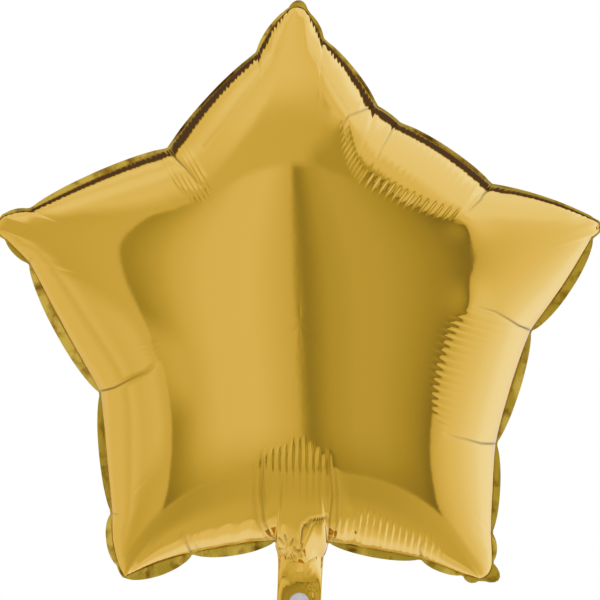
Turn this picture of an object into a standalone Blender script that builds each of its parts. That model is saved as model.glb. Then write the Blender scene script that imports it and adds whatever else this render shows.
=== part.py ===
"""Five-pointed star balloon of metallised film, blown up, with the tail that it is filled through.

Two flat star-shaped sheets are welded face to face round their edge. Blown up, the star crowns in the
middle, and its weld draws in: it puckers, and between puckers the spare edge stands out as scalloped
lobes. The film beside the weld is gathered into pleats. A round inlet in the tail's front sheet opens
on the pocket that holds the flat valve film.

Lengths are in metres. X is to the right, Y to the back and Z up. The origin is in the middle of the
neck, where a ribbon is tied.
"""

import bpy
import numpy as np

# Star
CENTRE_HEIGHT = 0.1666      # middle of the star above the ribbon tie
CROWN = 0.080               # half of the blown-up thickness, at the middle
EDGE_THICKNESS = 0.0008     # the two welded sheets, at the edge
NOTCH_WIDTH = 0.001         # welded edge left at a pucker
LOBE_CURL = 0.0015          # how far the lobes of the edge curl, forward and back by turns
PLAIN_STEP = 0.010          # length of edge for each plain column of the film

# Creases and pleats of the film
CREASE_DEPTH = 0.30         # share of the film's height that a crease takes at the weld
CREASE_WIDTH = 0.005
PLEAT_PITCH = 0.0053
PLEAT_DEPTH = 0.0016        # from ridge to valley
PLEAT_REACH = 0.040         # how far pleats run in from the weld

# Tail
TAIL_WIDTH = 0.031
TAIL_LENGTH = 0.064         # below the ribbon tie
TAIL_THICKNESS = 0.0019
TAIL_LEAN = 0.04            # sideways run for each unit of drop
NECK_TOP = 0.010            # where the tail's shoulders meet the star's lower edge
SHOULDER_RADIUS = 0.006
SHOULDER_STEPS = 5

# Inlet and valve
INLET_DIAMETER = 0.0146
INLET_DROP = 0.030          # inlet's middle below the ribbon tie
INLET_SIDES = 32
VALVE_WIDTH = 0.022
VALVE_TOP = 0.012           # above the ribbon tie
VALVE_BELOW_INLET = 0.005   # valve film past the inlet's lower edge
VALVE_THICKNESS = 0.0003
CLEARANCE = 0.0003          # between the valve film and its pocket

# One row for each span of the welded edge, clockwise from the top tip as seen from the front, in
# millimetres: where it starts (x, z), how far its weld bows out, how far its lobe stands out, how far
# the crease at its start runs in, and 1 where the film is gathered into pleats
MILLIMETRE = 0.001
SPANS = [
    (-8.4, 385.0, 3.5, 8.0, 0, 0),
    (5.6, 382.9, 0.7, 3.0, 0, 0),
    (16.1, 364.0, 1.7, 4.7, 8, 0),
    (52.5, 315.7, 0.7, 2.0, 22, 1),
    (68.6, 304.5, 3.1, 6.0, 35, 1),
    (133.0, 261.1, 2.2, 4.9, 30, 0),
    (203.7, 239.4, 6.5, 7.7, 4, 0),
    (204.4, 226.1, 1.8, 8.0, 4, 0),
    (159.6, 161.0, -1.0, 4.7, 42, 1),
    (135.8, 81.9, 0.3, 5.0, 38, 0),
    (133.7, 18.9, 0.7, 3.9, 8, 0),
    (134.4, -1.4, 3.2, 10.5, 4, 0),
    (126.0, -13.3, 0.3, 4.5, 4, 0),
    (114.1, -9.8, 0.2, 4.4, 10, 1),
    (84.7, 1.4, -1.0, 5.2, 14, 1),
    (19.6, 13.3, 8.0, 9.5, 60, 1),
    (-17.5, 14.0, -1.7, 6.3, 60, 0),
    (-75.6, 4.9, -1.2, 6.4, 22, 0),
    (-122.5, -11.9, 0.4, 1.4, 4, 0),
    (-126.7, -4.2, 2.4, 6.0, 5, 0),
    (-130.2, 32.9, 0.0, 6.1, 10, 0),
    (-138.6, 116.9, 0.2, 7.7, 42, 0),
    (-189.0, 207.9, 0.4, 3.5, 8, 0),
    (-205.8, 224.7, 5.6, 6.8, 4, 0),
    (-207.9, 240.8, 0.9, 3.0, 4, 0),
    (-189.0, 245.0, 2.1, 6.0, 6, 0),
    (-90.3, 285.6, 3.5, 6.3, 40, 0),
    (-29.4, 353.5, 1.0, 4.3, 8, 0),
]

# Rings of the film, as shares of the way out from the middle to the weld
RINGS = (0.14, 0.29, 0.44, 0.58, 0.70, 0.80, 0.88, 0.94, 0.98)

# The film's crown is worked out from charges set this far outside the weld
CHARGE_OFFSET = 0.014


def clear_scene():
    """Remove whatever the file holds."""
    for thing in list(bpy.data.objects):
        bpy.data.objects.remove(thing, do_unlink=True)


def finish(name, colour, metallic, roughness, alpha=1.0):
    """A Principled material."""
    material = bpy.data.materials.new(name)
    material.use_nodes = True
    shader = material.node_tree.nodes["Principled BSDF"]
    shader.inputs["Base Color"].default_value = (*colour, 1.0)
    shader.inputs["Metallic"].default_value = metallic
    shader.inputs["Roughness"].default_value = roughness
    shader.inputs["Alpha"].default_value = alpha
    return material


def solid(name, vertices, faces, material=None):
    """An object with a mesh of these vertices and faces, shaded smooth but for its sharp edges."""
    mesh = bpy.data.meshes.new(name)
    mesh.from_pydata([tuple(vertex) for vertex in vertices], [], faces)
    mesh.validate()
    mesh.shade_smooth()
    mesh.set_sharp_from_angle(angle=np.radians(35.0))
    item = bpy.data.objects.new(name, mesh)
    bpy.context.scene.collection.objects.link(item)
    if material:
        mesh.materials.append(material)
    return item


def plate(name, outline, front, back, material=None):
    """A flat plate: an outline of (x, z) points, clockwise from the front, between two values of y."""
    count = len(outline)
    vertices = [(x, front, z) for x, z in outline] + [(x, back, z) for x, z in outline]
    sides = [(i, (i + 1) % count, (i + 1) % count + count, i + count) for i in range(count)]
    faces = [tuple(reversed(range(count))), tuple(range(count, 2 * count))] + sides
    return solid(name, vertices, faces, material)


def tool(item):
    """Keep an object that only shapes another out of the model."""
    item.hide_render = True
    item.display_type = 'WIRE'
    return item


def combine(item, other, operation):
    """Join another closed shape to this one, or cut it away."""
    modifier = item.modifiers.new(f"{operation.lower()}_{other.name}", 'BOOLEAN')
    modifier.operation = operation
    modifier.object = other


def outward(direction):
    """Unit normals on the left of directions that run clockwise, which is the outside of the star."""
    normal = np.stack([-direction[..., 1], direction[..., 0]], axis=-1)
    return normal / np.linalg.norm(normal, axis=-1, keepdims=True)


def welded_edge():
    """The columns of the film round the star: weld point, outer edge, curl and pleat turn of each.

    A span is a chord from pucker to pucker. Its weld bows from the chord as a parabola, and the lobe
    outside it as a fuller arch that starts from the notch left at the pucker.
    """
    table = np.array(SPANS)
    corners = table[:, :2] * MILLIMETRE
    columns = []
    for number, (_, _, bow, reach, _, gathered) in enumerate(SPANS):
        start, end = corners[number], corners[(number + 1) % len(corners)]
        before = start - corners[number - 1]
        chord = end - start
        length = np.linalg.norm(chord)
        if gathered:
            steps = 2 * max(1, round(length / PLEAT_PITCH))
        else:
            steps = max(3, round(length / PLAIN_STEP))
        along = np.arange(steps) / steps
        arch = 4.0 * along * (1.0 - along)
        normal = outward(chord)
        weld = start + along[:, None] * chord + (arch * bow * MILLIMETRE)[:, None] * normal
        stand = np.maximum(reach * MILLIMETRE * arch ** 0.6, bow * MILLIMETRE * arch + NOTCH_WIDTH)
        edge = start + along[:, None] * chord + stand[:, None] * normal
        corner_normal = outward(before / np.linalg.norm(before) + chord / length)
        edge[0] = start + NOTCH_WIDTH * corner_normal
        curl = LOBE_CURL * arch * (1.0 if number % 2 else -1.0)
        turn = gathered * np.where(np.arange(steps) % 2, 1.0, -1.0)
        columns.append(np.column_stack([weld, edge, curl, turn]))
    columns = np.concatenate(columns)
    return columns[:, 0:2], columns[:, 2:4], columns[:, 4], columns[:, 5]


def skin_sag(points, rim):
    """Sag of an evenly loaded skin held along the rim.

    It is the sum of the logarithms of the distances to charges outside the rim, plus a constant, less
    a quarter of the squared distance from the middle. The charges are sized so that it is nothing on
    the rim.
    """
    middle = np.array([0.0, CENTRE_HEIGHT])
    charges = (rim + CHARGE_OFFSET * outward(np.roll(rim, -2, axis=0) - np.roll(rim, 2, axis=0)))[::2]

    def terms(places):
        distance = np.linalg.norm(places[:, None, :] - charges[None, :, :], axis=-1)
        return np.column_stack([np.log(distance), np.ones(len(places))])

    strengths = np.linalg.lstsq(terms(rim), np.sum((rim - middle) ** 2, axis=1) / 4.0, rcond=1e-9)[0]
    return terms(points) @ strengths - np.sum((points - middle) ** 2, axis=1) / 4.0


def creasing(points):
    """Share of its height that the film keeps: a groove runs in from each pucker and fades out."""
    middle = np.array([0.0, CENTRE_HEIGHT])
    keep = np.ones(len(points))
    for x, z, _, _, reach, _ in SPANS:
        if not reach:
            continue
        corner = np.array([x, z]) * MILLIMETRE
        inward = (middle - corner) / np.linalg.norm(middle - corner)
        offset = points - corner
        depth = np.maximum(offset @ inward, 0.0)
        across = offset @ np.array([-inward[1], inward[0]])
        fade = np.clip(1.0 - depth / (reach * MILLIMETRE), 0.0, 1.0)
        groove = fade ** 1.5 * np.exp(-(across / CREASE_WIDTH) ** 2)
        keep *= 1.0 - CREASE_DEPTH * groove
    return keep


def film_height(points, share, weld, turn):
    """Height of the film over the weld's plane.

    The crown is the square root of the skin's sag, so that sections of the arms are round. Creases
    take from it, and pleats add a ridge or a valley that swells and fades between the weld and the
    end of their reach.
    """
    middle = np.array([[0.0, CENTRE_HEIGHT]])
    sag = skin_sag(np.concatenate([points, middle]), weld)
    crown = CROWN * np.sqrt(np.maximum(sag[:-1], 0.0) / sag[-1])
    depth = (1.0 - share) * np.linalg.norm(weld - middle, axis=1)
    swell = np.sin(np.pi * np.clip(depth / PLEAT_REACH, 0.0, 1.0))
    return crown * creasing(points) + 0.5 * PLEAT_DEPTH * turn * swell


def foil_envelope(material):
    """The blown-up bag: front film, welded edge and back film as rings from one middle to the other."""
    weld, edge, curl, turn = welded_edge()
    middle = np.array([0.0, CENTRE_HEIGHT])
    half_edge = EDGE_THICKNESS / 2.0
    front_rings = []
    for share in RINGS:
        points = middle + share * (weld - middle)
        front_rings.append((points, half_edge + film_height(points, share, weld, turn)))
    front_rings.append((weld, np.full(len(weld), half_edge)))
    rings = [np.column_stack([points[:, 0], -height, points[:, 1]]) for points, height in front_rings]
    rings.append(np.column_stack([edge[:, 0], curl - half_edge, edge[:, 1]]))
    rings.append(np.column_stack([edge[:, 0], curl + half_edge, edge[:, 1]]))
    rings += [np.column_stack([points[:, 0], height, points[:, 1]])
              for points, height in reversed(front_rings)]
    count = len(weld)
    pole = half_edge + CROWN
    vertices = np.concatenate([[(0.0, -pole, CENTRE_HEIGHT)], *rings, [(0.0, pole, CENTRE_HEIGHT)]])
    last = len(vertices) - 1
    faces = []
    for column in range(count):
        following = (column + 1) % count
        faces.append((0, 1 + following, 1 + column))
        for ring in range(len(rings) - 1):
            inner, outer = 1 + ring * count, 1 + (ring + 1) * count
            faces.append((inner + column, inner + following, outer + following, outer + column))
        outer = 1 + (len(rings) - 1) * count
        faces.append((last, outer + column, outer + following))
    return solid("foil_envelope", vertices, faces, material)


def tail_outline():
    """Outline of the tail, with shoulders that sweep out to the star's lower edge."""
    half = TAIL_WIDTH / 2.0
    turn = np.linspace(0.0, np.pi / 2.0, SHOULDER_STEPS)
    shoulder_x = half + SHOULDER_RADIUS * (1.0 - np.cos(turn))
    shoulder_z = NECK_TOP - SHOULDER_RADIUS * (1.0 - np.sin(turn))
    top = NECK_TOP + SHOULDER_RADIUS
    right = [(half, -TAIL_LENGTH), *zip(shoulder_x, shoulder_z), (half + SHOULDER_RADIUS, top)]
    left = [(-x, z) for x, z in right]
    return [(x + TAIL_LEAN * z, z) for x, z in left + right[::-1]]


def strip(half_width, bottom, top):
    """Outline of a plain strip that leans with the tail, clockwise from the front."""
    corners = [(-half_width, bottom), (-half_width, top), (half_width, top), (half_width, bottom)]
    return [(x + TAIL_LEAN * z, z) for x, z in corners]


def add_tail(envelope):
    """Join the tail to the bag, then cut the valve's pocket and the inlet that opens on it."""
    half_tail = TAIL_THICKNESS / 2.0
    tail = tool(plate("tail", tail_outline(), -half_tail, half_tail))
    combine(envelope, tail, 'UNION')

    valve_bottom = -INLET_DROP - INLET_DIAMETER / 2.0 - VALVE_BELOW_INLET
    half_pocket = VALVE_THICKNESS / 2.0 + CLEARANCE
    pocket_shape = strip(VALVE_WIDTH / 2.0 + CLEARANCE, valve_bottom - CLEARANCE, VALVE_TOP + CLEARANCE)
    pocket = tool(plate("pocket", pocket_shape, -half_pocket, half_pocket))
    combine(envelope, pocket, 'DIFFERENCE')

    angles = -np.arange(INLET_SIDES) / INLET_SIDES * 2.0 * np.pi
    radius = INLET_DIAMETER / 2.0
    round_shape = [(radius * np.cos(a) - TAIL_LEAN * INLET_DROP, radius * np.sin(a) - INLET_DROP)
                   for a in angles]
    inlet = tool(plate("inlet", round_shape, -TAIL_THICKNESS, 0.0))
    combine(envelope, inlet, 'DIFFERENCE')
    return valve_bottom


def valve_film(bottom, material):
    """The flat valve film that lies in the tail's pocket, behind the inlet."""
    outline = strip(VALVE_WIDTH / 2.0, bottom, VALVE_TOP)
    return plate("valve_film", outline, -VALVE_THICKNESS / 2.0, VALVE_THICKNESS / 2.0, material)


clear_scene()
gold_film = finish("gold_metallised_film", (0.78, 0.50, 0.10), 1.0, 0.15)
clear_film = finish("clear_valve_film", (0.80, 0.79, 0.80), 0.0, 0.25, alpha=0.6)
bag = foil_envelope(gold_film)
valve_film(add_tail(bag), clear_film)
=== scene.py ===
"""Looks of the star balloon: its two sheets of gold film, the welded edge, the tail and its inlet."""

import bpy
import numpy as np
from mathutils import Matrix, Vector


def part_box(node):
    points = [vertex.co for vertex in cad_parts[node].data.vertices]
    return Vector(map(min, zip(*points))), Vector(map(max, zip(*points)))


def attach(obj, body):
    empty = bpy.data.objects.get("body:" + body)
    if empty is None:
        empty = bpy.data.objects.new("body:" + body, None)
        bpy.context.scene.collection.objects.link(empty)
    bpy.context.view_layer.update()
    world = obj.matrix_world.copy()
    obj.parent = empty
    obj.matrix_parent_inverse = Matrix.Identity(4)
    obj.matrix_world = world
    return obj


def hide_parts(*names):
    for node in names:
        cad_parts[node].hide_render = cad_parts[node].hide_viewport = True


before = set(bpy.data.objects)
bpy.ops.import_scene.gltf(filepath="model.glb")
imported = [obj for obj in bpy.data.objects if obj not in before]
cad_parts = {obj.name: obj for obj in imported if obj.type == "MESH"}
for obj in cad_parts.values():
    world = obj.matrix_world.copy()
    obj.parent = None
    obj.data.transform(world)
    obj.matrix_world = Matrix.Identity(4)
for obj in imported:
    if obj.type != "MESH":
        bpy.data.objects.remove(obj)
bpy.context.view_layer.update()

# FRONT AND BACK SHEETS
# Two star-shaped sheets of gold film, cut flat and welded face to face round their edge. Gas crowns
# them in the middle. The film can't stretch, so it gathers into fine teeth beside the weld, and into
# long pleats and sharp creases where the star's inner corners pull in.
MM = 0.001
CENTRE_HEIGHT = 0.1666
CROWN = 0.080
SHEET = 0.0004              # half of the welded edge's thickness
RIM_SPACING = 0.004         # spacing of the points at which the skin is held to the weld
CHARGE_OFFSET = 0.014       # how far outside the weld the skin's charges stand
INNER_RINGS = np.linspace(0.03, 0.54, 16)
OUTER_RINGS = np.concatenate([np.linspace(0.56, 0.90, 32), 1.0 - 0.092 * np.linspace(1.0, 0.0, 17) ** 1.6])
TOOTHED_STEP = 0.00056      # spacing of the film's columns at the weld, where it shows its teeth
PLAIN_STEP = 0.00094        # and elsewhere
NECK_STEP = 0.0003          # and across the neck, where the weld runs down and back up
COLUMN_CROWDING = 0.4       # how much closer they stand at the puckers, where the creases start
TOOTHED = 0.4               # millimetres of tooth height from which a span gets the closer columns
NECK_BOW = 10.0             # millimetres of bow that only the span across the neck is past
FULL_ARCH = 0.6             # power that turns a parabola into a fuller arch
TOOTH_PITCH = 0.0038
TOOTH_REACH = 0.0016
BACK_SEED = 11              # makes the back sheet's teeth and pleats fall differently
NOTCH_WIDTH = 0.0014        # flange left at a pucker
WELD_LINE = 0.0012          # how far the film is in its own shade beside the weld
WELD_SHADE = 0.9            # how deep that shade is
SKIRT_SHARE = 0.5           # a crease's shallow skirt beside its cusp
SKIRT_WIDTH = 0.005
CREASE_FADE = 0.6           # power by which a crease fades to its far end
CORE_WIDTH = 0.0007         # half width of the shaded core of a crease
CORE_SHADE = 0.7            # how deep its shade is for each millimetre of the crease's depth
PLEAT_LEAN = 0.5            # how far a pleat leans to one side
PLEAT_DRIFT = 2.5           # how far unlike pleats shift sideways, and over what length
DRIFT_LENGTH = 0.007
SWELL_REACH = 0.022         # how fast gathered film sinks back to the weld
CRUMPLE_SIZE = 0.0018

# One row for each span of the welded edge, clockwise from the top tip as seen from the front, in
# millimetres: where it starts (x, z), how far its weld bows out, how far its lobe stands out, and the
# height of the film's teeth there
SPANS = [
    (-8.4, 385.0, 3.5, 8.0, 0.3),
    (5.6, 382.9, 0.7, 3.0, 0.5),
    (16.1, 364.0, 2.4, 4.7, 0.6),
    (53.7, 316.9, 0.7, 2.0, 0.5),
    (69.2, 305.4, 2.9, 5.4, 0.6),
    (133.9, 262.2, 2.8, 4.2, 0.39),
    (203.7, 239.4, 6.5, 7.7, 0.1),
    (204.4, 226.1, 2.4, 8.3, 0.1),
    (161.0, 160.6, -0.5, 5.4, 0.2),
    (136.8, 81.9, 0.3, 5.0, 0.15),
    (133.7, 18.9, 0.7, 3.9, 0.15),
    (134.4, -1.4, 3.2, 11.2, 0.1),
    (126.0, -13.3, 0.3, 4.5, 0.1),
    (114.1, -9.8, 0.2, 4.4, 0.15),
    (84.7, 1.4, 0.4, 5.6, 0.15),
    (19.6, 13.3, 21.0, 21.8, 0.1),
    (-17.5, 14.0, -0.4, 6.3, 0.2),
    (-75.6, 4.9, -1.2, 7.4, 0.15),
    (-122.5, -11.9, 0.4, 1.4, 0.1),
    (-126.7, -4.2, 2.4, 6.8, 0.1),
    (-131.4, 32.9, 0.7, 5.4, 0.15),
    (-139.3, 117.3, 1.6, 7.9, 0.15),
    (-189.0, 207.9, 0.4, 3.5, 0.15),
    (-205.8, 224.7, 5.6, 6.8, 0.1),
    (-207.9, 240.8, 0.9, 3.0, 0.3),
    (-189.0, 245.0, 2.1, 6.0, 0.5),
    (-92.0, 287.6, 3.4, 5.0, 0.6),
    (-30.1, 354.3, 1.9, 4.3, 0.6),
]

# Creases in the film, in millimetres: the points that each runs through (x, z) from the weld inward,
# then its depth at the weld and the half width of its groove
CREASES = [
    ([(-92.0, 287.6), (-84.7, 278.6), (-79.1, 273.0), (-67.2, 258.3)], 1.5, 1.0),
    ([(-139.8, 118.3), (-127.4, 121.8), (-119.0, 126.0), (-105.0, 133.0), (-96.6, 140.0)], 1.5, 1.0),
    ([(53.2, 317.4), (41.3, 311.5), (33.5, 308.0), (30.0, 302.5), (29.2, 296.5), (31.5, 288.0),
      (35.0, 282.0)], 0.9, 0.9),
    ([(67.0, 305.5), (60.2, 293.3), (51.8, 277.6)], 0.7, 1.0),
    ([(133.9, 262.2), (126.0, 254.1), (123.9, 250.6), (113.4, 240.8)], 1.4, 1.0),
    ([(161.0, 160.6), (150.5, 164.5), (142.1, 169.4), (133.0, 174.3), (117.6, 178.5)], 1.6, 1.0),
    ([(136.8, 81.9), (124.6, 83.3), (113.4, 86.8), (105.0, 88.9), (98.0, 91.7)], 1.6, 1.0),
    ([(-17.5, 14.0), (-24.5, 30.0), (-26.6, 50.0), (-25.2, 80.0)], 0.9, 1.1),
    ([(-22.0, 14.0), (-29.5, 30.0), (-31.5, 50.0), (-31.0, 72.0)], 0.5, 1.0),
    ([(19.6, 13.3), (20.3, 30.0), (21.7, 50.0), (20.0, 80.0)], 0.9, 1.1),
    ([(23.0, 13.0), (25.2, 30.0), (25.9, 50.0), (24.5, 68.0)], 0.5, 1.0),
    ([(17.5, 32.9), (8.0, 31.0), (2.1, 26.6), (0.7, 14.0), (3.5, 3.5), (8.0, -1.0)], 2.0, 0.9),
    ([(-14.5, 18.0), (-9.5, 12.0)], 1.1, 0.5),
    ([(-10.5, 20.0), (-8.0, 12.5)], 1.0, 0.5),
    ([(-5.0, 17.0), (-7.5, 11.0)], 1.0, 0.5),
    ([(-14.5, 9.0), (-9.0, 9.5)], 1.0, 0.5),
    ([(-12.5, 2.5), (-8.5, 7.0)], 1.0, 0.5),
    ([(-5.5, 2.0), (-6.5, 7.0)], 1.0, 0.5),
    ([(0.0, 8.5), (-5.5, 9.5)], 1.0, 0.5),
    ([(-75.6, 4.9), (-78.4, 14.0), (-81.9, 25.0)], 1.2, 1.0),
    ([(-70.6, 5.9), (-73.4, 17.0)], 0.7, 0.9),
    ([(-131.4, 32.9), (-125.0, 33.6)], 0.7, 1.0),
    ([(-189.0, 207.9), (-185.5, 212.8)], 0.6, 0.9),
    ([(16.1, 364.0), (13.0, 363.0)], 0.4, 0.9),
    ([(-30.1, 354.3), (-26.0, 350.5)], 0.4, 0.9),
    ([(84.7, 1.4), (83.0, 10.0), (84.0, 18.0)], 0.9, 1.0),
    ([(-66.5, 287.0), (-49.0, 308.0), (-25.0, 343.0), (-1.4, 371.7)], 0.16, 1.4),
    ([(32.9, 312.9), (14.0, 343.0), (-1.4, 371.7)], 0.16, 1.4),
]

# Gathers: where the pleats end inside the star and how long their points are there (x, z, length),
# which way they run outward, their pitch, their height where they end and across the rest, how far
# that carries, how much the pleats differ, and how high the gathered film swells, in millimetres
GATHERS = [
    ([(32.0, 305.0, 1.5), (34.0, 293.6, 2.5), (37.2, 280.6, 3), (44.2, 269.1, 4)],
     (0.60, 0.80), 3.1, 0.07, 0.06, 6, 0.25, 1.4),
    ([(44.2, 269.1, 6), (57.2, 262.6, 7), (71.2, 255.6, 7), (85.2, 250.0, 6), (99.2, 245.8, 5),
      (112.0, 243.4, 3)], (0.60, 0.80), 5.0, 0.17, 0.13, 8, 0.25, 1.4),
    ([(117.6, 176.5, 1), (109.0, 173.0, 6), (103.0, 168.5, 8), (99.5, 160.3, 8), (95.5, 149.1, 7),
      (92.5, 139.3, 5), (90.5, 126.0, 2), (90.5, 114.1, 2), (93.0, 103.6, 1), (98.7, 92.5, 1)],
     (0.96, -0.27), 5.1, 0.30, 0.08, 16, 0.25, 0.0),
    ([(-25.9, 76.5, 3), (-17.5, 80.0, 4), (0.0, 81.0, 3), (12.6, 79.5, 4), (21.0, 74.0, 3)],
     (0.0, -1.0), 4.6, 0.30, 0.0, 10, 0.1, 0.0),
    ([(26.5, 33.0, 3), (38.5, 34.0, 4), (46.2, 37.5, 4), (59.5, 30.1, 4), (73.5, 24.5, 3), (88.9, 18.9, 3),
      (98.0, 9.0, 2)], (-0.12, -0.99), 4.7, 0.95, 0.6, 10, 0.3, 0.0),
    ([(-86.0, 263.0, 2), (-80.0, 258.5, 6), (-73.0, 256.0, 6), (-68.0, 258.0, 6), (-64.0, 266.0, 3)],
     (-0.50, 0.86), 3.2, 0.28, 0.04, 8, 0.3, 0.2),
    ([(-103.6, 154.0, 2), (-101.5, 147.0, 4), (-99.4, 139.0, 4)],
     (-0.96, -0.20), 3.6, 0.14, 0.0, 6, 0.3, 0.1),
    ([(-82.0, 25.0, 3), (-70.0, 19.0, 2), (-50.0, 21.0, 2), (-30.0, 27.0, 2)],
     (0.12, -0.99), 4.7, 0.20, 0.12, 10, 0.3, 0.0),
]

# Where the film pillows out between two puckers, in millimetres: middle, spreads and height
PILLOWS = [
    ((38.0, 304.0), (12.0, 12.0), 2.0),
    ((116.0, 182.0), (12.0, 12.0), 1.7),
    ((116.0, 232.0), (12.0, 9.0), 1.3),
]

# Where the star runs into its tail, in millimetres: the fold that lies across it (middle, heading,
# half length, half width, height), and the middle and spread of the crumpled film beside that
NECK_FOLD = ((8.8, 14.7), (0.37, 0.93), 17.0, 6.0, 4.0)
NECK_CRUMPLE = ((-5.0, 6.0), (11.0, 9.0), 0.6)

MIDDLE = np.array([0.0, CENTRE_HEIGHT])


def linear(code):
    """sRGB hex to linear: the low end is divided by 12.92, the rest is the 2.4 power curve."""
    channels = [int(code[i:i + 2], 16) / 255 for i in (1, 3, 5)]
    return [c / 12.92 if c <= 0.04045 else ((c + 0.055) / 1.055) ** 2.4 for c in channels]


def outward(direction):
    """Unit normals on the left of directions that run clockwise, which is the star's outside."""
    normal = np.stack([-direction[..., 1], direction[..., 0]], axis=-1)
    return normal / np.linalg.norm(normal, axis=-1, keepdims=True)


def seam_columns():
    """Columns round the star: weld point, edge point, run along the weld, tooth height and lobe.

    A span is a chord from pucker to pucker, with its columns closer together at both ends. Its weld
    bows from the chord as a parabola, and the lobe outside it stands out as a power of that, a fuller
    arch, which curls forward and back by turns. Across the neck the weld itself is such a fuller arch.
    """
    corners = np.array([span[:2] for span in SPANS]) * MM
    rows = []
    run = 0.0
    for number, (_, _, bow, reach, tooth) in enumerate(SPANS):
        start, end = corners[number], corners[(number + 1) % len(corners)]
        chord = end - start
        length = np.linalg.norm(chord)
        step = NECK_STEP if bow > NECK_BOW else TOOTHED_STEP if tooth > TOOTHED else PLAIN_STEP
        steps = 3 * max(2, round(length / step / 3))
        share = np.arange(steps) / steps
        along = share - COLUMN_CROWDING * np.sin(2.0 * np.pi * share) / (2.0 * np.pi)
        arch = 4.0 * along * (1.0 - along)
        normal = outward(chord)
        bowed = bow * MM * arch ** (FULL_ARCH if bow > NECK_BOW else 1.0)
        weld = start + along[:, None] * chord + bowed[:, None] * normal
        stand = np.maximum(reach * MM * arch ** FULL_ARCH, bowed + NOTCH_WIDTH)
        edge = start + along[:, None] * chord + stand[:, None] * normal
        teeth = np.full(steps, tooth * MM)
        curl = arch if number % 2 else -arch
        rows.append(np.column_stack([weld, edge, run + along * length, teeth, curl]))
        run += length
    rows = np.concatenate(rows)
    return rows[:, 0:2], rows[:, 2:4], rows[:, 4], rows[:, 5], rows[:, 6]


def skin_charges(rim):
    """Charges outside the rim, and strengths for them: the sum of each strength times the logarithm of
    the distance to its charge, less a quarter of the squared radius, comes to nothing on the rim."""
    charges = rim + CHARGE_OFFSET * outward(np.roll(rim, -2, axis=0) - np.roll(rim, 2, axis=0))
    charges = charges[::2]
    distance = np.linalg.norm(rim[:, None] - charges[None], axis=-1)
    terms = np.column_stack([np.log(distance), np.ones(len(rim))])
    level = np.sum((rim - MIDDLE) ** 2, axis=1) / 4.0
    return charges, np.linalg.lstsq(terms, level, rcond=1e-9)[0]


def skin_sag(points):
    """Sag of an evenly loaded skin: the charges' logarithms times their strengths, and a constant, less
    a quarter of the squared radius."""
    sag = strengths[-1] - np.sum((points - MIDDLE) ** 2, axis=1) / 4.0
    for charge, strength in zip(charges, strengths[:-1]):
        sag = sag + 0.5 * strength * np.log(np.sum((points - charge) ** 2, axis=1))
    return sag


def ripple(place, seed):
    """A smooth uneven line, about -1 to 1: four sines whose lengths don't divide one another."""
    turns = np.array([1.0, 0.618, 1.433, 0.271])
    phase = np.array([0.3, 1.7, 4.1, 2.9]) * (seed + 1.0)
    return sum(np.sin(place * turn + shift) for turn, shift in zip(turns, phase)) / 2.6


def ease(value, low, high):
    """Smooth step from nothing at low to one at high: thrice the square less twice the cube."""
    share = np.clip((value - low) / (high - low), 0.0, 1.0)
    return share * share * (3.0 - 2.0 * share)


def creases(points):
    """Depth of the creases, and how much their cores are in shade.

    Across its line each is a cusp, an exponential of the distance, on a shallow skirt that is a wider
    one. It is deepest at the weld and fades to its far end as a power of the share that is left. The
    core's shade is a narrow bell across the line and fades evenly.
    """
    depth_there = np.zeros(len(points))
    core = np.zeros(len(points))
    for line, depth, width in CREASES:
        path = np.array(line) * MM
        lengths = np.linalg.norm(np.diff(path, axis=0), axis=1)
        best = np.full(len(points), np.inf)
        place = np.zeros(len(points))
        done = 0.0
        for start, end, length in zip(path[:-1], path[1:], lengths):
            along = np.clip((points - start) @ (end - start) / length ** 2, 0.0, 1.0)
            gap = np.linalg.norm(points - start - along[:, None] * (end - start), axis=1)
            place = np.where(gap < best, (done + along * length) / lengths.sum(), place)
            best = np.minimum(gap, best)
            done += length
        fade = (1.0 - place) ** CREASE_FADE
        cusp = np.exp(-best / (width * MM)) + SKIRT_SHARE * np.exp(-best / SKIRT_WIDTH)
        depth_there += depth * MM * fade * cusp
        shade = min(1.0, CORE_SHADE * depth) * (1.0 - place) * np.exp(-(best / CORE_WIDTH) ** 2)
        core = np.maximum(core, shade)
    return depth_there, core


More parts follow.
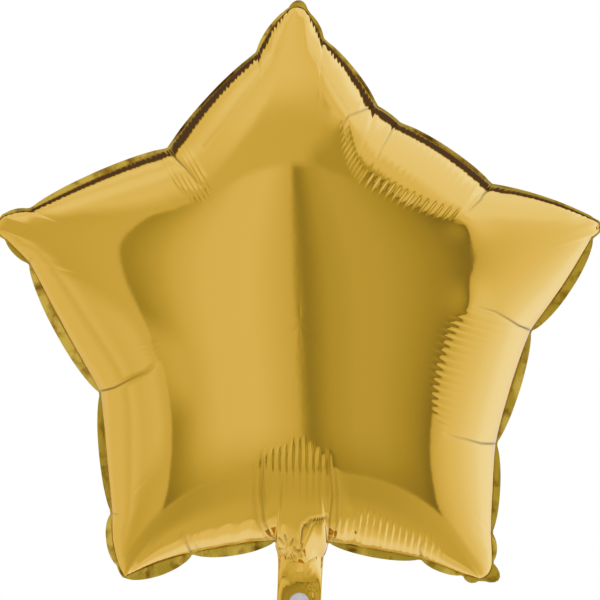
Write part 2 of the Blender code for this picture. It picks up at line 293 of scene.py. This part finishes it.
def pleat_height(points, depth, seed):
    """Height of the gathers' pleats: a leaning wave across their run, a sine of a turn plus its sine.

    It starts at a jagged line of points, is highest there, and flattens as an exponential to the
    gather's own height on the way to the weld, where it dies out. Ripples make the pleats unlike one
    another. The gathered film also swells up to that line, and sinks back to the weld as an exponential.
    """
    total = np.zeros(len(points))
    for number, (ends, heading, pitch, high, low, carry, unlike, swell) in enumerate(GATHERS):
        ends = np.array(ends) * MM
        heading = np.array(heading) / np.linalg.norm(heading)
        across_axis = np.array([heading[1], -heading[0]])
        end_across = ends[:, :2] @ across_axis
        order = np.argsort(end_across)
        across = points @ across_axis
        inner = np.interp(across, end_across[order], (ends[:, :2] @ heading)[order])
        length = np.interp(across, end_across[order], ends[order, 2])
        drift = PLEAT_DRIFT * unlike * ripple(across / DRIFT_LENGTH, number + seed)
        turn = across / (pitch * MM) * 2.0 * np.pi + drift
        leaning = np.sin(turn + PLEAT_LEAN * np.sin(turn))
        jag = np.arcsin(0.98 * leaning) * 2.0 / np.pi
        jag = jag * (1.0 + unlike * ripple(across / (pitch * MM) * 1.7, number + 3 + seed))
        past = points @ heading - inner + 0.5 * length * jag
        window = ease(across, end_across.min() - 0.002, end_across.min() + 0.002)
        window = window * (1.0 - ease(across, end_across.max() - 0.002, end_across.max() + 0.002))
        wave = leaning * (1.0 + unlike * ripple(across / 0.004, number + 8))
        fall = np.exp(-np.maximum(past, 0.0) / (carry * MM))
        body = (low + (high - low) * fall) * wave * ease(past, -0.0025, 0.005)
        body = body + swell * np.exp(-np.maximum(past, 0.0) / SWELL_REACH) * ease(past, -0.009, 0.002)
        total += window * body * MM * ease(depth, 0.0, 0.006)
    return total


def neck_folds(points):
    """Height of the fold across the neck and of the crumpled film beside it, and the flecks of shade.

    The fold is a parabola along its length. Across, it is steep on its left and slopes down evenly to
    its right. The crumples fade from their middle as a bell, and their dark flecks are where they are
    deepest.
    """
    middle, heading, long_half, wide_half, height = NECK_FOLD
    heading = np.array(heading) / np.linalg.norm(heading)
    offset = points / MM - middle
    along, across = offset @ heading / long_half, offset @ [heading[1], -heading[0]] / wide_half
    leaning = ease(across, -1.1, -0.7) * np.clip(0.5 - 0.5 * across, 0.0, 1.0)
    middle, spread, crumple_height = NECK_CRUMPLE
    near = np.exp(-np.sum(((points / MM - middle) / spread) ** 2, axis=1))
    crumpled = crumple(points)
    fold = height * leaning * np.clip(1.0 - along ** 2, 0.0, 1.0)
    rise = (fold + crumple_height * near * crumpled) * MM
    return rise, 0.5 * ease(near, 0.3, 0.7) * ease(-crumpled, 0.3, 0.8)


def crumple(points):
    """Creased film, about -1 to 1: the sizes of two uneven sines that cross one another, so that the
    bottoms of the waves are sharp."""
    x, z = points[:, 0] / CRUMPLE_SIZE, points[:, 1] / CRUMPLE_SIZE
    one = np.abs(np.sin(1.1 * x + 0.5 * z + 1.3 * np.sin(0.6 * z)))
    other = np.abs(np.sin(0.9 * z - 0.7 * x + 1.1 * np.sin(0.8 * x + 1.0)))
    return one + other - 1.2


def film_height(points, share, columns, seed):
    """Height of the film over the weld's plane.

    The crown is the square root of the skin's sag as a share of its peak, so that sections of the arms
    are round. What the fitted sag leaves at the weld is taken off it, as the tenth power of the share
    of the way out. Teeth are a fine wave along the weld that rises and dies out close to it. Pleats and
    the neck's folds are added to that, pillows as bells, and creases are taken off. It also returns how
    much the film is in shade: in creases' cores, in flecks and in the line beside the weld.
    """
    sag = skin_sag(points) - share ** 10 * rim_sag[columns]
    crown = CROWN * np.sqrt(np.maximum(sag, 0.0) / peak_sag)
    depth = (1.0 - share) * weld_distance[columns]
    turn = run[columns] / TOOTH_PITCH * 2.0 * np.pi + 1.5 * ripple(run[columns] / 0.002, 5 + seed)
    teeth = tooth_height[columns] * np.sin(turn) * (0.6 + 0.4 * ripple(run[columns] / 0.0013, 7 + seed))
    teeth = teeth * (depth / TOOTH_REACH) * np.exp(1.0 - depth / TOOTH_REACH)
    grooves, core = creases(points)
    neck, flecks = neck_folds(points)
    core = np.maximum(np.maximum(core, flecks), WELD_SHADE * (1.0 - ease(depth, 0.0002, WELD_LINE)))
    folds = neck * ease(crown, 0.001, 0.006) - grooves * ease(crown, 0.0, 0.02)
    for middle, spread, height in PILLOWS:
        folds += height * MM * np.exp(-np.sum(((points / MM - middle) / spread) ** 2, axis=1))
    return np.maximum(crown + teeth + pleat_height(points, depth, seed) + folds, 0.0), core


weld, edge, run, tooth_height, lobe = seam_columns()
rim_marks = np.searchsorted(run, np.arange(0.0, run[-1], RIM_SPACING))
charges, strengths = skin_charges(weld[rim_marks])
peak_sag = skin_sag(MIDDLE[None])[0]
rim_sag = skin_sag(weld)
weld_distance = np.linalg.norm(weld - MIDDLE, axis=1)


def link_mesh(name, vertices, faces, materials, sharp=180.0):
    """An object whose mesh has its place in it, shaded smooth but for edges past the sharp angle."""
    mesh = bpy.data.meshes.new(name)
    mesh.from_pydata(vertices, [], faces)
    mesh.shade_smooth()
    if sharp < 180.0:
        mesh.set_sharp_from_angle(angle=np.radians(sharp))
    item = bpy.data.objects.new(name, mesh)
    bpy.context.scene.collection.objects.link(item)
    for material in materials:
        mesh.materials.append(material)
    return item


def band(inner, outer):
    """Four-sided faces between two closed rings of as many vertex numbers."""
    return np.column_stack([inner, np.roll(inner, -1), np.roll(outer, -1), outer])


def sheet(name, side, material):
    """A crowned sheet: rings of columns from the middle to the weld, each ring a share of the way out.

    The outer rings have all the columns, and the inner ones every third. Fans of four triangles join
    the two kinds, and a fan closes the middle.
    """
    vertices = [np.array([[0.0, -side * (CROWN + SHEET), CENTRE_HEIGHT]])]
    numbers = []
    cores = [np.zeros(1)]
    count = 1
    for share in np.concatenate([INNER_RINGS, OUTER_RINGS]):
        columns = np.arange(0, len(weld), 3 if share <= INNER_RINGS[-1] else 1)
        points = MIDDLE + share * (weld[columns] - MIDDLE)
        height, core = film_height(points, share, columns, 0 if side > 0 else BACK_SEED)
        height = height if share < 1.0 else 0.0 * height
        cores.append(core)
        vertices.append(np.column_stack([points[:, 0], -side * (height + SHEET), points[:, 1]]))
        numbers.append(np.arange(count, count + len(columns)))
        count += len(columns)
    first, last, dense = numbers[0], numbers[len(INNER_RINGS) - 1], numbers[len(INNER_RINGS)]
    fan = np.column_stack([np.zeros_like(first), np.roll(first, -1), first])
    a, b, c, d = dense[0::3], dense[1::3], dense[2::3], np.roll(dense[0::3], -1)
    after = np.roll(last, -1)
    fans = [np.column_stack(corners) for corners in
            ((last, b, a), (last, c, b), (last, after, c), (after, d, c))]
    pairs = [n for n in range(len(numbers) - 1) if n != len(INNER_RINGS) - 1]
    quads = [band(numbers[n], numbers[n + 1]) for n in pairs]
    faces = np.concatenate([fan, *fans]).tolist() + np.concatenate(quads).tolist()
    if side < 0:
        faces = [face[::-1] for face in faces]
    item = link_mesh(name, np.concatenate(vertices), faces, [material])
    item.data.attributes.new("fold", 'FLOAT', 'POINT').data.foreach_set("value", np.concatenate(cores))
    return item


def add(tree, kind, settings, links):
    """Add a node: named settings are its properties, numbered ones its inputs' values."""
    node = tree.nodes.new(kind)
    for key, value in settings.items():
        if isinstance(key, str):
            setattr(node, key, value)
        else:
            node.inputs[key].default_value = value
    for key, socket in links.items():
        tree.links.new(socket, node.inputs[key])
    return node


def new_material(name):
    """A new material, its node tree and its shader."""
    material = bpy.data.materials.new(name)
    material.use_nodes = True
    return material, material.node_tree, material.node_tree.nodes["Principled BSDF"]


# Nylon film with a vapour coat of aluminium under a yellow lacquer: it mirrors like metal, and only the
# faint crinkle of a thin film breaks the reflections. Where it is folded on itself it is in its own
# shade, which is finer than a reflection can show and is drawn as a darker colour.
GOLD = "#E8BF5F"
GLANCING_GOLD = "#F6E9CD"
FOLD_SHADE = "#4A2F10"
CRINKLE_SIZE = 0.016667


def metallised_nylon():
    """Gold, mixed with the fold's shade as the mesh's own "fold" value says."""
    material, tree, shader = new_material("metallised_nylon_gold")
    shader.inputs["Metallic"].default_value = 1.0
    shader.inputs["Roughness"].default_value = 0.07
    shader.inputs["Specular Tint"].default_value = (*linear(GLANCING_GOLD), 1.0)
    fold = add(tree, "ShaderNodeAttribute", {"attribute_name": "fold"}, {})
    shade = add(tree, "ShaderNodeMix", {"data_type": 'RGBA', 6: (*linear(GOLD), 1.0),
                                        7: (*linear(FOLD_SHADE), 1.0)}, {0: fold.outputs["Fac"]})
    tree.links.new(shade.outputs[2], shader.inputs["Base Color"])
    place = add(tree, "ShaderNodeTexCoord", {}, {})
    crinkle = add(tree, "ShaderNodeTexNoise", {2: 1.0 / CRINKLE_SIZE, 3: 3.0}, {0: place.outputs["Object"]})
    bump = add(tree, "ShaderNodeBump", {0: 0.04, 1: 0.001}, {"Height": crinkle.outputs[0]})
    tree.links.new(bump.outputs[0], shader.inputs["Normal"])
    return material


gold = metallised_nylon()
for item in (sheet("front_sheet", 1.0, gold), sheet("back_sheet", -1.0, gold)):
    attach(item, "root")
    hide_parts("foil_envelope")

# WELDED EDGE
# Outside the weld the two sheets are one flat flange, cut a few millimetres wide. Where the film
# puckers, the spare edge springs out as scalloped lobes that curl forward and back by turns.
LOBE_CURL = 0.0006
EDGE_WAVE = 0.0005
EDGE_ROWS = 9
EDGE_HALF_THICKNESS = SHEET * 0.8
TUCK = 0.0012               # how far the flange runs in under the film

# The same film pressed between hot bars: duller than the blown film, and smudged a darker brown at random.
HEAT_SEALED = "#D6BA5A"
DARKER_SMUDGE = "#8F6A24"
SMUDGE_SIZE = 0.011111


def welded_edge(material):
    """A flat ribbon round the star: front face out to the cut edge, then back to the weld. Its lobes
    curl as a power of the share of the way out, and a slow ripple bends them a little more."""
    inward = -outward(np.roll(weld, -1, axis=0) - np.roll(weld, 1, axis=0))
    root = weld + TUCK * inward
    columns = np.arange(0, len(weld), 2)
    rows = []
    for out in np.linspace(0.0, 1.0, EDGE_ROWS):
        points = root[columns] + out * (edge[columns] - root[columns])
        curl = LOBE_CURL * lobe[columns] * out ** 1.5
        wave = EDGE_WAVE * out * ripple(run[columns] / 0.005, 3) * np.abs(lobe[columns])
        rows.append((points, curl + wave))
    rings = [np.column_stack([p[:, 0], y - EDGE_HALF_THICKNESS, p[:, 1]]) for p, y in rows]
    rings += [np.column_stack([p[:, 0], y + EDGE_HALF_THICKNESS, p[:, 1]]) for p, y in reversed(rows)]
    numbers = [np.arange(len(columns)) + ring * len(columns) for ring in range(len(rings))]
    faces = [band(numbers[n], numbers[(n + 1) % len(rings)]) for n in range(len(rings))]
    return link_mesh("welded_edge", np.concatenate(rings), np.concatenate(faces).tolist(), [material], 50.0)


def heat_sealed_film():
    """One uneven pattern gives both the smudges of colour and the seal's slight bumps."""
    material, tree, shader = new_material("heat_sealed_film")
    shader.inputs["Metallic"].default_value = 1.0
    shader.inputs["Roughness"].default_value = 0.22
    shader.inputs["Specular Tint"].default_value = (*linear(GLANCING_GOLD), 1.0)
    place = add(tree, "ShaderNodeTexCoord", {}, {})
    smudge = add(tree, "ShaderNodeTexNoise", {2: 1.0 / SMUDGE_SIZE, 3: 4.0}, {0: place.outputs["Object"]})
    ramp = add(tree, "ShaderNodeValToRGB", {}, {0: smudge.outputs[0]})
    for element, position, code in zip(ramp.color_ramp.elements, (0.50, 0.68), (HEAT_SEALED, DARKER_SMUDGE)):
        element.position = position
        element.color = (*linear(code), 1.0)
    tree.links.new(ramp.outputs[0], shader.inputs["Base Color"])
    bump = add(tree, "ShaderNodeBump", {0: 0.3, 1: 0.001}, {"Height": smudge.outputs[0]})
    tree.links.new(bump.outputs[0], shader.inputs["Normal"])
    return material


flange = welded_edge(heat_sealed_film())
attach(flange, "root")
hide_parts("foil_envelope")

# TAIL
# The filling tail is a flat tube of the same film below the star's notch, with a round inlet punched
# through its front sheet. Its inside is bare aluminium, and it is crumpled where it leaves the star.
TAIL_WIDTH = 0.031
TAIL_TOP = 0.012
TAIL_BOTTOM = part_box("foil_envelope")[0][2]
TAIL_LEAN = 0.04            # how far its lower end swings to the left, as a share of its length
TAIL_SHIFT = 0.0005
TAIL_SPREAD = 0.005         # how far each side spreads out at the top, and how fast
CORNER_POWER = 14           # the higher, the sharper the tail's corners
TAIL_HALF_THICKNESS = 0.00095
FILM = 0.00012
INLET_RADIUS = 0.0073
INLET_CENTRE = np.array([-0.0006, -0.030])
TAIL_COLUMNS = 480
TAIL_CRUMPLE = 0.00028
TAIL_TWIST = 0.045          # the tail hangs turned a little to the right
LEAST_HEIGHT = 0.00002      # keeps the sheets apart along the tail's sides
FLARE_START = -0.0132       # below the star the tail's sheets part and slope up into its crown
FLARE_BEND = 0.003
FLARE_SLOPE = 1.05
FLARE_MOST = 0.014
FLARE_HALF_WIDTH = 0.0145
PINCH = np.array([0.0095, -0.022])      # where the film is pinched and crumpled beside the inlet
PINCH_SPREAD = np.array([0.0030, 0.0080])


def tail_frame(turn):
    """Outline of the tail: a rounded rectangle, as a circle of a high power, whose sides spread out at
    its top as an exponential. Its lower end leans to the left."""
    corner = np.array([np.cos(turn), np.sin(turn)])
    reach = (np.abs(corner[0]) ** CORNER_POWER + np.abs(corner[1]) ** CORNER_POWER) ** (-1 / CORNER_POWER)
    x, z = corner * reach
    height = TAIL_BOTTOM + (z + 1.0) / 2.0 * (TAIL_TOP - TAIL_BOTTOM)
    half = TAIL_WIDTH / 2.0 + TAIL_SPREAD * np.exp((height - TAIL_TOP) / TAIL_SPREAD)
    return np.column_stack([x * half + TAIL_LEAN * height + TAIL_SHIFT, height])


def tail(outer_material, inner_material):
    """A closed bag: its outside from the inlet's rim round the edge to the middle of the back, then its
    inside all the way back to the rim.

    It is plump as the square root of one less a power of the share of the way out. It is crumpled near
    the star and at a pinch. At the star both sheets rise as a bent line, round across their width.
    """
    turn = np.arange(TAIL_COLUMNS) / TAIL_COLUMNS * 2.0 * np.pi
    rim = INLET_CENTRE + INLET_RADIUS * np.column_stack([np.cos(turn), np.sin(turn)])
    outline = tail_frame(turn)
    shares = np.concatenate([np.linspace(0.0, 0.9, 28), [0.94, 0.97, 0.99, 1.0]])
    rings = []

    def ring(points, share, side, inset):
        """Add a ring in front (side 1) or behind (side -1), so far in from the outer skin."""
        plump = TAIL_HALF_THICKNESS * np.sqrt(np.clip(1.0 - share ** 6, 0.0, 1.0))
        fade = (1.0 - share ** 8) * ease(np.linalg.norm(points - INLET_CENTRE, axis=1), 0.0075, 0.012)
        pinched = np.exp(-np.sum(((points - PINCH) / PINCH_SPREAD) ** 2, axis=1))
        worked = 0.02 + 0.35 * ease(points[:, 1], -0.020, -0.006) + 0.8 * pinched
        swell = FLARE_SLOPE * FLARE_BEND * np.log1p(np.exp((points[:, 1] - FLARE_START) / FLARE_BEND))
        offset = points[:, 0] - TAIL_LEAN * points[:, 1] - TAIL_SHIFT
        round_across = np.sqrt(np.clip(1.0 - (offset / FLARE_HALF_WIDTH) ** 2, 0.0, 1.0))
        flare = np.minimum(swell, FLARE_MOST) * round_across
        twist = TAIL_TWIST * offset * ease(-points[:, 1], 0.008, 0.020)
        height = plump + flare + TAIL_CRUMPLE * worked * crumple(points * [side, 1.0]) * fade - inset
        y = twist - side * np.maximum(height, LEAST_HEIGHT)
        rings.append(np.column_stack([points[:, 0], y, points[:, 1]]))

    for share in shares:
        ring(rim + share * (outline - rim), share, 1.0, 0.0)
    for share in shares[::-1][1:]:
        ring(rim + share * (outline - rim), share, -1.0, 0.0)
    for share in (0.6, 0.2):
        ring(INLET_CENTRE + share * (rim - INLET_CENTRE), 0.0, -1.0, 0.0)
    outside = len(rings)
    for share in (0.2, 0.6):
        ring(INLET_CENTRE + share * (rim - INLET_CENTRE), 0.0, -1.0, FILM)
    for share in shares[:-2]:
        ring(rim + share * (outline - rim), share, -1.0, FILM)
    for share in shares[:-2][::-1]:
        ring(rim + share * (outline - rim), share, 1.0, FILM)
    vertices = np.concatenate(rings + [[[*np.insert(INLET_CENTRE, 1, TAIL_HALF_THICKNESS)]],
                                       [[*np.insert(INLET_CENTRE, 1, TAIL_HALF_THICKNESS - FILM)]]])
    numbers = [np.arange(TAIL_COLUMNS) + n * TAIL_COLUMNS for n in range(len(rings))]
    pole = len(vertices) - 2
    links = [n for n in range(len(rings) - 1) if n != outside - 1]
    faces = [band(numbers[n], numbers[n + 1]) for n in links] + [band(numbers[-1], numbers[0])]
    quads = np.concatenate(faces)
    last, first = numbers[outside - 1], numbers[outside]
    fans = np.concatenate([np.column_stack([last, np.roll(last, -1), np.full_like(last, pole)]),
                           np.column_stack([np.roll(first, -1), first, np.full_like(first, pole + 1)])])
    item = link_mesh("tail", vertices, [f[::-1] for f in quads.tolist() + fans.tolist()],
                     [outer_material, inner_material], 60.0)
    outer_quads = (outside - 1) * TAIL_COLUMNS
    index = np.zeros(len(quads) + len(fans), dtype=np.int32)
    index[outer_quads:len(quads) - TAIL_COLUMNS] = 1
    index[-TAIL_COLUMNS:] = 1
    item.data.polygons.foreach_set("material_index", index)
    return item


# The film's inside, where the vapour coat lies bare: a silvery mirror, a little softer than the outside.
ALUMINIUM = "#D9D6D6"


def bare_aluminium():
    material, _, shader = new_material("vapour_coated_aluminium")
    shader.inputs["Base Color"].default_value = (*linear(ALUMINIUM), 1.0)
    shader.inputs["Metallic"].default_value = 1.0
    shader.inputs["Roughness"].default_value = 0.2
    return material


tube = tail(gold, bare_aluminium())
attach(tube, "root")
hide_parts("foil_envelope")

# VALVE FILM
# A limp strip of blown polyethylene film is sealed into the tail and closes itself under the gas's
# pressure. Through the inlet it shows as a pale, wrinkled skin over the silver inside.
# It is clear, but its soft shine and the silver behind it make it look milky, so it is drawn opaque.
POLYETHYLENE = "#DAD7E2"
WRINKLE_SIZE = 0.003846


def polyethylene_film():
    material, tree, shader = new_material("polyethylene_valve_film")
    shader.inputs["Base Color"].default_value = (*linear(POLYETHYLENE), 1.0)
    shader.inputs["Roughness"].default_value = 0.18
    shader.inputs["Metallic"].default_value = 0.2
    place = add(tree, "ShaderNodeTexCoord", {}, {})
    wrinkle = add(tree, "ShaderNodeTexNoise", {2: 1.0 / WRINKLE_SIZE, 3: 3.0}, {0: place.outputs["Object"]})
    bump = add(tree, "ShaderNodeBump", {0: 0.3, 1: 0.001}, {"Height": wrinkle.outputs[0]})
    tree.links.new(bump.outputs[0], shader.inputs["Normal"])
    return material


valve = bpy.data.objects["valve_film"]
valve.material_slots[0].material = polyethylene_film()

# STUDIO
# A white studio with the balloon in its middle. Behind the camera stands a dim wall with a join in its
# middle, a lamp stands to the right, and the ceiling behind the balloon is dark.
MOST_LIGHT = 2.2            # the highest level that a ramp holds

# The light that the gold film sends back from each side of the studio, by azimuth from straight
# ahead of the balloon: round its middle, overhead, low down and underfoot
SIDES = [(-180, 0.55), (-150, 0.75), (-136, 0.80), (-125, 0.74), (-100, 0.73), (-88, 0.66), (-70, 0.58),
         (-47, 0.63), (46, 0.60), (52, 0.69), (60, 0.77), (70, 0.84), (80, 0.93), (90, 1.20), (103, 1.75),
         (128, 2.05), (145, 1.70), (165, 0.90), (180, 0.55)]
OVERHEAD = [(-180, 0.85), (-140, 0.90), (-120, 0.80), (-106, 0.88), (-92, 0.88), (-77, 0.77), (-45, 0.81),
            (0, 0.80), (45, 0.77), (60, 0.74), (70, 0.92), (90, 1.0), (116, 1.15), (140, 1.3), (180, 0.85)]
LOW = [(-180, 1.15), (-150, 0.95), (-110, 0.66), (-66, 0.53), (-35, 0.46), (-20, 0.54), (-3, 0.56),
       (12, 0.48), (26, 0.50), (48, 0.60), (80, 0.95), (110, 1.25), (150, 1.35), (180, 1.15)]
UNDERFOOT = [(-180, 0.80), (-90, 0.62), (0, 0.60), (30, 0.57), (90, 0.66), (180, 0.80)]
# The wall's light from left to right, with its join near the middle
WALL = [(-47, 0.34), (-42, 0.42), (-32, 0.64), (-24, 0.73), (-12, 0.74), (-5, 0.66), (-0.8, 0.60),
        (0.4, 0.27), (3, 0.33), (7, 0.46), (14, 0.53), (22, 0.52), (31, 0.44), (38, 0.36), (46, 0.22)]
WALL_FOOT = 0.74            # the share of its light that the wall has left at its foot
CEILING = 0.08
LEFT_LIFT = 1.18            # how much lighter the left side is below the balloon's middle
DIM_PATCH = 0.44            # above the wall's right half
GLOW = 0.68                 # on the wall's left edge, and how far it hides the wall
GLOW_SHARE = 0.75
# What the gold film makes of each level: the dark walls are warm and the lamps a cool white
SHOWN = [(0.0, "#1E1408"), (0.07, "#4A321E"), (0.22, "#7B601B"), (0.42, "#A78424"), (0.60, "#C59D38"),
         (0.75, "#DAB150"), (0.93, "#E5C26D"), (MOST_LIGHT, "#F2DA9A")]
TINT_SCALE = 4.0            # the ramp of colours holds a quarter of each, to stay below one
MATT_LIGHT = (0.95, 0.95, 0.95, 1.0)
BACKGROUND = (1.0, 1.0, 1.0, 1.0)


def studio():
    """The studio as light by direction alone: azimuth from straight ahead, and elevation.

    Levels are blended from the lists round the balloon, and patches are blended over them in turn. One
    ramp turns the level into light of the colour that the film shows there over the film's own gold.
    Only mirrors see that: matt surfaces get plain soft light, and the camera sees white.
    """
    world = bpy.data.worlds.new("studio")
    bpy.context.scene.world = world
    world.use_nodes = True
    tree = world.node_tree
    background = tree.nodes["Background"]
    background.inputs[1].default_value = 1.0
    place = add(tree, "ShaderNodeTexCoord", {}, {})
    axes = add(tree, "ShaderNodeSeparateXYZ", {}, {0: place.outputs["Generated"]})
    ahead = add(tree, "ShaderNodeMath", {"operation": 'MULTIPLY', 1: -1.0}, {0: axes.outputs[1]})
    azimuth = add(tree, "ShaderNodeMath", {"operation": 'ARCTAN2'}, {0: axes.outputs[0], 1: ahead.outputs[0]})
    azimuth = add(tree, "ShaderNodeMath", {"operation": 'DEGREES'}, {0: azimuth.outputs[0]}).outputs[0]
    elevation = add(tree, "ShaderNodeMath", {"operation": 'ARCSINE'}, {0: axes.outputs[2]})
    elevation = add(tree, "ShaderNodeMath", {"operation": 'DEGREES'}, {0: elevation.outputs[0]}).outputs[0]

    def step(value, low, high):
        """Soft step from nothing at low to one at high."""
        return add(tree, "ShaderNodeMapRange", {"interpolation_type": 'SMOOTHSTEP', 1: low, 2: high},
                   {0: value}).outputs[0]

    def product(one, other):
        """One value times another, which may be a number."""
        if isinstance(other, float):
            return add(tree, "ShaderNodeMath", {"operation": 'MULTIPLY', 1: other}, {0: one}).outputs[0]
        return add(tree, "ShaderNodeMath", {"operation": 'MULTIPLY'}, {0: one, 1: other}).outputs[0]

    def blend(mask, under, over):
        """Mix of two light levels by a mask; either may be a number."""
        node = add(tree, "ShaderNodeMix", {"data_type": 'FLOAT'}, {0: mask})
        for slot, level in ((2, under), (3, over)):
            if isinstance(level, float):
                node.inputs[slot].default_value = level
            else:
                tree.links.new(level, node.inputs[slot])
        return node.outputs[0]

    def patch(left, right, low, high, side_soft, end_soft):
        """Mask of what lies between two azimuths and two elevations, with soft sides and soft ends."""
        sides = product(step(azimuth, left - side_soft / 2, left + side_soft / 2),
                        step(azimuth, right + side_soft / 2, right - side_soft / 2))
        ends = product(step(elevation, low - end_soft / 2, low + end_soft / 2),
                       step(elevation, high + end_soft / 2, high - end_soft / 2))
        return product(sides, ends)

    def slanted(value, share, other):
        """An angle plus a share of another value, so that a border at it runs at a slant."""
        part = product(other, share)
        return add(tree, "ShaderNodeMath", {"operation": 'ADD'}, {0: value, 1: part}).outputs[0]

    def around(stops, angle=azimuth):
        """Level by azimuth, from a list of angles and levels; the ramp holds a share of each level."""
        turn = add(tree, "ShaderNodeMapRange", {1: -180.0, 2: 180.0}, {0: angle})
        ramp = add(tree, "ShaderNodeValToRGB", {}, {0: turn.outputs[0]})
        elements = ramp.color_ramp.elements
        while len(elements) < len(stops):
            elements.new(0.5)
        for element, (stop, light) in zip(elements, stops):
            element.position = (stop + 180.0) / 360.0
            element.color = (light / MOST_LIGHT, light / MOST_LIGHT, light / MOST_LIGHT, 1.0)
        return product(ramp.outputs[0], MOST_LIGHT)

    # Overhead begins higher up ahead of the balloon than on the left and right
    middle = product(step(azimuth, -50.0, -30.0), step(azimuth, 52.0, 38.0))
    overhead = step(slanted(elevation, -10.0, middle), 40.0, 53.0)
    level = blend(overhead, around(SIDES), around(OVERHEAD))
    down = blend(step(elevation, -56.0, -76.0), around(LOW), around(UNDERFOOT))
    level = blend(step(elevation, -42.0, -49.0), level, down)

    # The dark ceiling behind the balloon, on both sides
    behind = add(tree, "ShaderNodeMath", {"operation": 'ABSOLUTE'}, {0: azimuth}).outputs[0]
    sides = product(step(behind, 123.0, 131.0), step(behind, 180.0, 163.0))
    ends = product(step(elevation, 2.0, 22.0), step(slanted(elevation, -0.4, behind), -12.0, -19.0))
    level = blend(product(sides, ends), level, CEILING)

    # The lighter part of the left side, and the dim patch above the wall
    level = blend(patch(-84, -52, -26, -9, 10, 10), level, product(level, LEFT_LIFT))
    above = product(step(azimuth, 2.0, 14.0), step(azimuth, 52.0, 42.0))
    above = product(above, step(slanted(elevation, -0.35, azimuth), 43.0, 37.0))
    level = blend(product(above, step(elevation, 30.0, 38.0)), level, DIM_PATCH)

    # The wall behind the camera, whose join and top lean a little, and the glow on its left edge
    foot = blend(step(elevation, -50.0, -25.0), WALL_FOOT, 1.0)
    wall = product(around(WALL, slanted(azimuth, 0.03, elevation)), foot)
    top = step(slanted(elevation, -0.03, azimuth), 40.75, 38.25)
    level = blend(product(patch(-46.5, 46, -46, 60, 1.0, 2.5), top), level, wall)
    level = blend(product(patch(-49, -33, -19, -7, 10, 8), GLOW_SHARE), level, GLOW)

    tint = add(tree, "ShaderNodeValToRGB", {}, {0: product(level, 1.0 / MOST_LIGHT)})
    elements = tint.color_ramp.elements
    while len(elements) < len(SHOWN):
        elements.new(0.5)
    for element, (light, code) in zip(elements, SHOWN):
        element.position = light / MOST_LIGHT
        element.color = (*[part / base / TINT_SCALE for part, base in zip(linear(code), linear(GOLD))], 1.0)
    mirrored = add(tree, "ShaderNodeVectorMath", {"operation": 'SCALE', 3: TINT_SCALE}, {0: tint.outputs[0]})
    path = add(tree, "ShaderNodeLightPath", {}, {})
    matt = add(tree, "ShaderNodeMix", {"data_type": 'RGBA', 7: MATT_LIGHT},
               {0: path.outputs["Is Diffuse Ray"], 6: mirrored.outputs[0]})
    seen = add(tree, "ShaderNodeMix", {"data_type": 'RGBA', 7: BACKGROUND},
               {0: path.outputs["Is Camera Ray"], 6: matt.outputs[2]})
    tree.links.new(seen.outputs[2], background.inputs[0])


studio()

# The floor is a disc of pale matt paper, far enough below the balloon to stay out of the photo's view.
# The film doesn't mirror it.
FLOOR_HEIGHT = -0.5
FLOOR_RADIUS = 2.5
FLOOR_SIDES = 96
PAPER = "#E9E9E7"


def studio_floor():
    """A disc, as a fan of faces round its middle."""
    turn = np.arange(FLOOR_SIDES) / FLOOR_SIDES * 2.0 * np.pi
    height = np.full(FLOOR_SIDES, FLOOR_HEIGHT)
    rim = np.column_stack([FLOOR_RADIUS * np.cos(turn), FLOOR_RADIUS * np.sin(turn), height])
    vertices = np.concatenate([[[0.0, 0.0, FLOOR_HEIGHT]], rim])
    numbers = np.arange(1, FLOOR_SIDES + 1)
    faces = np.column_stack([np.zeros_like(numbers), numbers, np.roll(numbers, -1)]).tolist()
    material, _, shader = new_material("matt_studio_paper")
    shader.inputs["Base Color"].default_value = (*linear(PAPER), 1.0)
    shader.inputs["Roughness"].default_value = 0.9
    item = link_mesh("floor", vertices, faces, [material])
    item.visible_glossy = False
    return item


studio_floor()

# The camera stands level in front of the balloon, with a long lens.
CAMERA_DISTANCE = 2.0
FRAME_WIDTH = 0.420
CAMERA_HEIGHT = 0.182
camera_data = bpy.data.cameras.new("camera")
camera = bpy.data.objects.new("camera", camera_data)
bpy.context.scene.collection.objects.link(camera)
camera_data.sensor_width = 36.0
camera_data.lens = camera_data.sensor_width * CAMERA_DISTANCE / FRAME_WIDTH
camera.location = (0.0, -CAMERA_DISTANCE, CAMERA_HEIGHT)
camera.rotation_euler = (np.pi / 2.0, 0.0, 0.0)
bpy.context.scene.camera = camera
bpy.context.scene.view_settings.view_transform = 'Standard'
